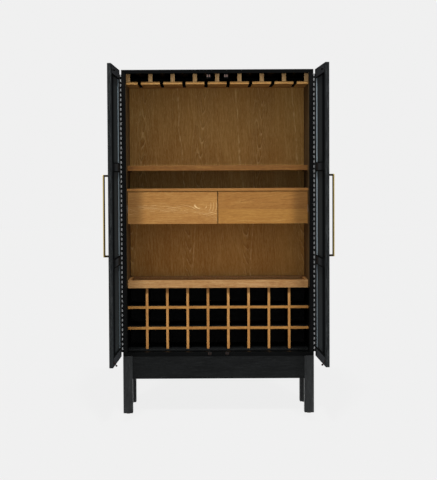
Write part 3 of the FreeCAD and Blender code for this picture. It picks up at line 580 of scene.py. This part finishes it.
def left_front_figure(tree):
    """One wide board with a knot beside the gap between the fronts."""
    tone, pith, tilt = (0.70, 0.62, 0.43), (-0.1, drawer_face + 0.05, 1.1), (0.0, 1.0, -4.0)
    colour, rough, height = oak_grain(tree, "X", tone, pith, tilt, rings=40.0, jump=still, figure=0.8)
    pale_line, dark_line = shade_by(tone, (1.0, 0.78, 0.52), (0.26, 0.11, 0.03))
    colour = knot_lines(tree, colour, pale_line, dark_line)
    return painted_shade_end(tree, colour, -shadow_starts, -shadow_full), rough, height


def right_front_figure(tree):
    """Two boards glued edge to edge, the upper one redder."""
    tone, pith, tilt = (0.585, 0.487, 0.298), (0.25, drawer_face + 0.06, 1.15), (0.0, 5.0, 2.0)
    upper = oak_grain(tree, "X", tone, pith, tilt, rings=48.0, jump=still, figure=0.8)
    tone, pith, tilt = (0.67, 0.583, 0.337), (0.1, drawer_face + 0.09, 1.02), (0.0, -1.0, 1.0)
    lower = oak_grain(tree, "X", tone, pith, tilt, rings=40.0, jump=still, figure=0.7)
    colour, rough, height = part_oak(tree, between(tree, "Z", board_joint, beyond), upper, lower)
    return painted_shade_end(tree, colour, shadow_starts, shadow_full), rough, height


fronts = {
    "left": wood("left_front_oak", left_front_figure),
    "right": wood("right_front_oak", right_front_figure),
}
box_oak = plain_oak("drawer_box_oak", "Y", tone=(1.06, 1.1, 1.2), pith=(0.2, 0.1, 0.9))
for side, front_oak in fronts.items():
    dress(f"{side}_drawer_front", front_oak)
    dress(f"{side}_drawer_box", box_oak, arris=0.0008)
    dress(f"{side}_drawer_bottom", box_oak, arris=0.0005)
    dress(f"{side}_drawer_runners", zinc, arris=0.0003)

# Wine rack: black-stained boards half-lapped into a grid, their front edges faced with oak lippings,
# between a thin black base and a black top board.
wine_black = black_oak("wine_rack_black", "Y", gloss=0.08)
for node in ("wine_rack_base", "wine_rack_top", "wine_dividers", "wine_shelves"):
    dress(node, wine_black, arris=0.0006)
shelf_levels = sorted({round(vertex.co.z, 5) for vertex in nodes["wine_shelves"].data.vertices})


def lipping_figure(tree):
    """Upright lippings with grain up and down, and level ones, a little darker, with grain across."""
    upright = oak_grain(tree, "Z", tone=(0.76, 0.675, 0.52), pith=(0.2, 0.3, 0.0), jump=(0.2, 0.1, 0.9))
    level = oak_grain(tree, "X", tone=(0.67, 0.58, 0.37), pith=(0.0, 0.3, 0.2), jump=(0.9, 0.1, 0.2))
    low = between(tree, "Z", shelf_levels[0] - oak_edge, shelf_levels[1] + oak_edge)
    high = between(tree, "Z", shelf_levels[-2] - oak_edge, shelf_levels[-1] + oak_edge)
    return part_oak(tree, maths(tree, "MAXIMUM", low, high), level, upright)


dress("wine_rack_lippings", wood("lipping_oak", lipping_figure), arris=0.0008)

# Serving tray: an oak floor with a deep front lip and low rims mitred at the back corners.
# It lies on the board over the bottles and slides forward.
lip_tone, rim_tone, floor_tone = (0.67, 0.64, 0.61), (0.67, 0.64, 0.6), (0.95, 0.92, 0.66)
tray_pith = (0.1, 0.16, 0.65)
lip_oak = plain_oak("tray_oak", "X", lip_tone, pith=tray_pith, tilt=(0.0, 0.0, 1.6), figure=1.4)
dress("tray_front_lip", lip_oak, arris=0.0015)
dress("tray_floor", plain_oak("tray_floor_oak", "X", floor_tone, pith=(0.2, 0.1, 0.6)))
dress("tray_rims", plain_oak("tray_rim_oak", "Y", rim_tone, pith=tray_pith))

# Piano hinges: two long folded steel leaves on one pin, painted black. The knuckles of the door's
# leaf, which turn against the others, are left as bright nickel and show as a row of dots.
black_steel = moulded("black_steel_paint", (0.004, 0.0042, 0.0044), rough=0.5, speckle=0.3, gloss=0.04)
leaf_paint = (0.008, 0.0085, 0.009)
pin_low, pin_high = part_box("hinge_pins")
pin_radius = (pin_high.y - pin_low.y) / 2
barrel_radius = 0.0037
flattened = 1e6


def opened(material):
    """A finish to be added to: its shader tree, its surface and the colour that the surface has."""
    tree = material.node_tree
    surface = next(node for node in tree.nodes if node.type == "BSDF_PRINCIPLED")
    return tree, surface, surface.inputs["Base Color"].links[0].from_socket


def painted_leaf(side):
    """Nickel inside the barrel's radius of the hinge axis and black paint on the flat beyond it."""
    material = metal(f"{side}_leaf_nickel_and_paint", (0.42, 0.43, 0.435), rough=0.36)
    tree, surface, nickel = opened(material)
    axis_x = pin_low.x + pin_radius if side == "left" else pin_high.x - pin_radius
    axis_place = (axis_x, pin_low.y + pin_radius, 0.0)
    level_place = drawn_out(tree, in_place(tree), "Z", flattened)
    away = put(tree, "ShaderNodeVectorMath", {0: level_place, 1: axis_place}, operation="DISTANCE")
    barrel = maths(tree, "LESS_THAN", away.outputs["Value"], barrel_radius)
    tree.links.new(blend_colours(tree, barrel, leaf_paint, nickel), surface.inputs["Base Color"])
    tree.links.new(barrel, surface.inputs["Metallic"])
    return material


for side in ("left", "right"):
    dress(f"{side}_hinge_carcass_leaf", black_steel, arris=0.0)
    dress(f"{side}_door_hinge_leaf", painted_leaf(side), arris=0.0)
    dress(f"{side}_door_hinge_screws", black_steel, arris=0.0)
dress("hinge_pins", metal("nickel_plate", (0.56, 0.57, 0.57), rough=0.34), arris=0.0)
dress("hinge_carcass_screws", black_steel, arris=0.0)

# Doors: stiles and rails of oak, stained black, rebated on the inside for three panes of smoked
# glass, paler on that side as painted sheen. Black beads set in the rebates hold each pane, with a pale
# seal along the upright bead at the hinge. Painted light and shade lie on the inner faces of the frames.
pane_low, pane_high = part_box("left_door_panes")
rebate = 0.02
# The inner faces carry painted light and shade: the hinge stile is painted dark, the free stile and end
# rails paler.
hinge_stile_shade, free_stile_light = (0.002, 0.0023, 0.0025), (0.034, 0.039, 0.042)
end_rail_light = (0.06, 0.065, 0.071)
door_paleness, face_share, turned_inward = 2.8, 0.8, -0.7


def door_inside(tree):
    """One on the faces that the doors turn to the inside of the cabinet when they are shut."""
    normal = put(tree, "ShaderNodeTexCoord").outputs["Normal"]
    facing = put(tree, "ShaderNodeSeparateXYZ", {"Vector": normal}).outputs["X"]
    which_door = maths(tree, "SIGN", on_axis(tree, "X"))
    return maths(tree, "LESS_THAN", times(tree, facing, which_door), turned_inward)


def door_figure(tree, along, inner_light_and_shade):
    """Black stain that lets the grain show outside and on the edges, with painted light and shade inside.
    """
    colour, rough, height = black_grain(tree, along, door_paleness)
    amount = times(tree, door_inside(tree), face_share)
    return blend_colours(tree, amount, colour, inner_light_and_shade), rough, height


def rail_figure(tree):
    """Rails with painted light and shade inside between panes, palest in the middle, darkest at the free
    stile.
    """
    length = spread(tree, on_axis(tree, "Y"), pane_low.y, pane_high.y)
    free_end, fading = (0.007, 0.0076, 0.0083), (0.01, 0.011, 0.012)
    middle, hinge_end = (0.056, 0.062, 0.067), (0.031, 0.0295, 0.0285)
    stops = ((0.0, free_end), (0.22, fading), (0.5, middle), (0.68, middle), (0.8, hinge_end))
    between_panes = between(tree, "Z", pane_low.z + rebate, pane_high.z - rebate)
    inner_light_and_shade = blend_colours(tree, between_panes, end_rail_light, ramp(tree, length, stops))
    return door_figure(tree, "Y", inner_light_and_shade)


# The right seal is painted paler than the left, as painted light.
seal_grey = {"left": (0.16, 0.195, 0.215), "right": (0.27, 0.325, 0.355)}
bead_black = (0.008, 0.0088, 0.009)
seal_set_back, seal_reach = 0.002, 0.02
seal_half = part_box("right_door_glazing_beads")[0].x + seal_set_back
seal_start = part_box("right_door_glazing_beads")[1].y - seal_reach
darker_full, darker_ends, darker_share = 0.78, 0.9, 0.5


def bead_finish(side):
    """A pale seal on the upright bead at the hinge, darker beside the lowest pane, and black elsewhere."""
    material = moulded(f"{side}_glazing_bead", seal_grey[side], rough=0.4, speckle=0.12, gloss=0.0)
    tree, surface, seal = opened(material)
    darker_low = spread(tree, on_axis(tree, "Z"), darker_full, darker_ends, darker_share, 0.0)
    seal = blend_colours(tree, darker_low, seal, bead_black)
    flush = between(tree, "X", -seal_half, seal_half)
    far_from_hinge = between(tree, "Y", -beyond, seal_start)
    stained = maths(tree, "MAXIMUM", flush, far_from_hinge)
    corners = nodes[f"{side}_door_glazing_beads"].data.vertices
    levels = sorted({round(corner.co.z, 4) for corner in corners})
    for low, high in zip(levels[0::2], levels[1::2]):
        stained = maths(tree, "MAXIMUM", stained, between(tree, "Z", low - oak_edge, high + oak_edge))
    tree.links.new(blend_colours(tree, stained, seal, bead_black), surface.inputs["Base Color"])
    return material


# Painted shade darkens each pane's inner face near the stiles, and painted sheen makes the rest of it
# paler.
free_margin, free_fade, hinge_margin = 0.13, 0.11, 0.035
margin_shade = (0.0075, 0.0082, 0.009)
inner_sheen_dark, inner_sheen_light = (0.038, 0.044, 0.046), (0.055, 0.063, 0.066)
smooth_dark, smooth_light = (0.0145, 0.017, 0.0178), (0.019, 0.0222, 0.0232)
drawn_relief = (0.25, 0.0001)


def smoked_glass():
    """Nearly black glass with upright streaks left from drawing, paler inside as painted sheen, with
    painted shade near the stiles.
    """
    material, tree = new_finish("smoked_glass")
    smears = noise(tree, in_place(tree), 14.0, 4.0, 0.65)
    drawn = noise(tree, drawn_out(tree, in_place(tree), "Z", 60.0), 70.0, 3.0, 0.6)
    rough = spread(tree, smears, 0.3, 0.7, 0.5, 0.6)
    across = on_axis(tree, "Y")
    margin_end = pane_low.y + free_margin
    from_free = smooth(tree, across, margin_end, margin_end + free_fade)
    from_hinge = smooth(tree, across, pane_high.y, pane_high.y - hinge_margin)
    inner_sheen = ramp(tree, drawn, ((0.3, inner_sheen_dark), (0.7, inner_sheen_light)))
    inner_sheen = blend_colours(tree, times(tree, from_free, from_hinge), margin_shade, inner_sheen)
    smooth_face = ramp(tree, drawn, ((0.3, smooth_dark), (0.7, smooth_light)))
    tint = blend_colours(tree, door_inside(tree), smooth_face, inner_sheen)
    lay_surface(tree, tint, rough, drawn, drawn_relief, {"Specular IOR Level": 0.0})
    return material


def stile_finish(name, inner_light_and_shade):
    """A stile, with its grain up and down and painted light and shade on its inner face."""
    return wood(name, lambda tree: door_figure(tree, "Z", inner_light_and_shade), gloss=0.0)


hinge_stile_black = stile_finish("door_oak_upright", hinge_stile_shade)
free_stile_black = stile_finish("free_stile_oak", free_stile_light)
rail_black = wood("door_oak_across", rail_figure, gloss=0.0)
glass = smoked_glass()
for side in ("left", "right"):
    dress(f"{side}_door_hinge_stile", hinge_stile_black)
    dress(f"{side}_door_free_stile", free_stile_black)
    dress(f"{side}_door_rails", rail_black)
    dress(f"{side}_door_panes", glass, arris=0.0)
    dress(f"{side}_door_glazing_beads", bead_finish(side), arris=0.0005)

# Door fittings: a square brass bar bent round to the door at both ends, dark with age, with painted light
# making its outer face bright, held by two black screws from inside. Bronze strikes with ball heads stand
# on round plates near the free corners of the doors and meet the catches.
fitting_level = 1.0
# Painted light: the outermost face of each handle bar is painted bright brass.
aged_brass, painted_light_brass = (0.02, 0.0135, 0.006), (0.35, 0.265, 0.09)
lit_face_depth, outside_bar = 0.0042, 0.01
strike_bronze, burnished_black = (0.028, 0.011, 0.009), (0.002, 0.002, 0.002)


def strike_finish():
    """Dark bronze on the strikes at the foot of the doors, burnished black on those at the top."""
    material = metal("strike_bronze", strike_bronze, rough=0.55)
    tree, surface, bronze = opened(material)
    top = between(tree, "Z", fitting_level, beyond)
    tree.links.new(blend_colours(tree, top, bronze, burnished_black), surface.inputs["Base Color"])
    return material


strike_metal = strike_finish()
for side in ("left", "right"):
    low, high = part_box(f"{side}_door_handle")
    if side == "left":
        painted_lit_face = (painted_light_brass, low.x - outside_bar, low.x + lit_face_depth)
    else:
        painted_lit_face = (painted_light_brass, high.x - lit_face_depth, high.x + outside_bar)
    brass = metal(f"{side}_aged_brass", aged_brass, rough=0.38, wear=0.4, painted_lit_face=painted_lit_face)
    dress(f"{side}_door_handle", brass, arris=0.001)
    dress(f"{side}_door_handle_screws", black_steel, arris=0.0004)
    dress(f"{side}_door_strikes", strike_metal, arris=0.0)

# Catches: black plastic housings, each with a magnet and two pole plates. Two are fixed under the
# top, with coppery plates, and two are let into the bottom panel's front edge.
pole_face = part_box("door_catches")[0].y
pole_depth = 0.0019
lower_poles, upper_poles = (0.022, 0.014, 0.012), (0.33, 0.22, 0.19)
housing_black = (0.004, 0.004, 0.004)


def catch_finish():
    """Black plastic with the pole plates showing at its front."""
    material = moulded("catch_plastic_and_poles", housing_black, rough=0.5, speckle=0.3, gloss=0.1)
    tree, surface, plastic = opened(material)
    poles = between(tree, "Y", -beyond, pole_face + pole_depth)
    plates = blend_colours(tree, between(tree, "Z", fitting_level, beyond), lower_poles, upper_poles)
    tree.links.new(blend_colours(tree, poles, plastic, plates), surface.inputs["Base Color"])
    return material


dress("door_catches", catch_finish(), arris=0.0006)

# Studio: a pale floor that keeps soft shadows, two soft lights from the front and above, a wide
# fill from the front and a weak low light from each side. The camera stands where the photograph
# was taken from.
floor_half = 30.0
floor_glow, floor_lit, floor_bounce = 0.833, 0.035, 0.6
air_pale, air_light = 0.871, 0.05


def grey(level):
    """A neutral colour."""
    return (level, level, level, 1.0)


def seen_directly(tree):
    """One for what is seen straight or in metal and glass, zero for light on its way to a piece."""
    path = put(tree, "ShaderNodeLightPath").outputs
    seen = maths(tree, "MAXIMUM", path["Is Camera Ray"], path["Is Glossy Ray"])
    return maths(tree, "MAXIMUM", seen, path["Is Transmission Ray"])


def shown_or_lighting(tree, lighting, shown, out_kind):
    """One shader for the light that reaches the pieces, and another for what is seen."""
    either = put(tree, "ShaderNodeMixShader", {"Fac": seen_directly(tree)})
    tree.links.new(lighting.outputs[0], either.inputs[1])
    tree.links.new(shown.outputs[0], either.inputs[2])
    out = put(tree, out_kind)
    tree.links.new(either.outputs[0], out.inputs["Surface"])


floor_mesh = bpy.data.meshes.new("studio_floor")
corners = [(x * floor_half, y * floor_half, 0.0) for x, y in ((-1, -1), (1, -1), (1, 1), (-1, 1))]
floor_mesh.from_pydata(corners, [], [(0, 1, 2, 3)])
floor = bpy.data.objects.new("studio_floor", floor_mesh)
bpy.context.scene.collection.objects.link(floor)
floor_paint, tree = new_finish("studio_floor_paint")
glow = put(tree, "ShaderNodeEmission", {"Color": grey(1.0), "Strength": floor_glow})
lit = put(tree, "ShaderNodeBsdfDiffuse", {"Color": grey(floor_lit)})
shown = put(tree, "ShaderNodeAddShader")
tree.links.new(glow.outputs[0], shown.inputs[0])
tree.links.new(lit.outputs[0], shown.inputs[1])
bounce = put(tree, "ShaderNodeBsdfDiffuse", {"Color": grey(floor_bounce)})
shown_or_lighting(tree, bounce, shown, "ShaderNodeOutputMaterial")
floor_mesh.materials.append(floor_paint)

world = bpy.data.worlds.new("studio_air")
bpy.context.scene.world = world
world.use_nodes = True
tree = world.node_tree
tree.nodes.clear()
shown = put(tree, "ShaderNodeBackground", {"Color": grey(air_pale), "Strength": 1.0})
soft = put(tree, "ShaderNodeBackground", {"Color": grey(1.0), "Strength": air_light})
shown_or_lighting(tree, soft, shown, "ShaderNodeOutputWorld")

for name, aside, above, strength, width in (
    ("left_front_light", -11.5, 50.0, 1.9, 4.5),
    ("right_front_light", 11.5, 50.0, 1.9, 4.5),
    ("front_fill_light", 0.0, 12.0, 1.1, 75.0),
    ("left_low_light", -66.0, 24.0, 0.2, 8.0),
    ("right_low_light", 66.0, 24.0, 0.2, 8.0),
):
    lamp = bpy.data.lights.new(name, "SUN")
    lamp.energy = strength
    lamp.angle = math.radians(width)
    light = bpy.data.objects.new(name, lamp)
    bpy.context.scene.collection.objects.link(light)
    turn, rise = math.radians(aside), math.radians(above)
    source = Vector((math.sin(turn) * math.cos(rise), -math.cos(turn) * math.cos(rise), math.sin(rise)))
    light.rotation_euler = source.to_track_quat("Z", "Y").to_euler()

photo_height, focal_pixels = 480, 1502.0
shift_right, shift_up = 14.275, 5.215
camera_aside, camera_away, camera_height = -0.07313, 7.96591, 1.25271
look_down, roll = math.radians(2.5363), math.radians(-0.2899)
camera_data = bpy.data.cameras.new("photo_camera")
camera_data.sensor_fit = "VERTICAL"
camera_data.sensor_height = 36.0
camera_data.lens = focal_pixels * camera_data.sensor_height / photo_height
camera_data.shift_x = shift_right / photo_height
camera_data.shift_y = shift_up / photo_height
camera_data.clip_end = 200.0
camera = bpy.data.objects.new("photo_camera", camera_data)
bpy.context.scene.collection.objects.link(camera)
carcass_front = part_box("left_side_panel")[0].y
camera.matrix_world = (
    Matrix.Translation((camera_aside, carcass_front - camera_away, camera_height))
    @ Matrix.Rotation(math.pi / 2 - look_down, 4, "X")
    @ Matrix.Rotation(roll, 4, "Z")
)
bpy.context.scene.camera = camera
bpy.context.scene.view_settings.view_transform = "Standard"

bpy.context.view_layer.update()
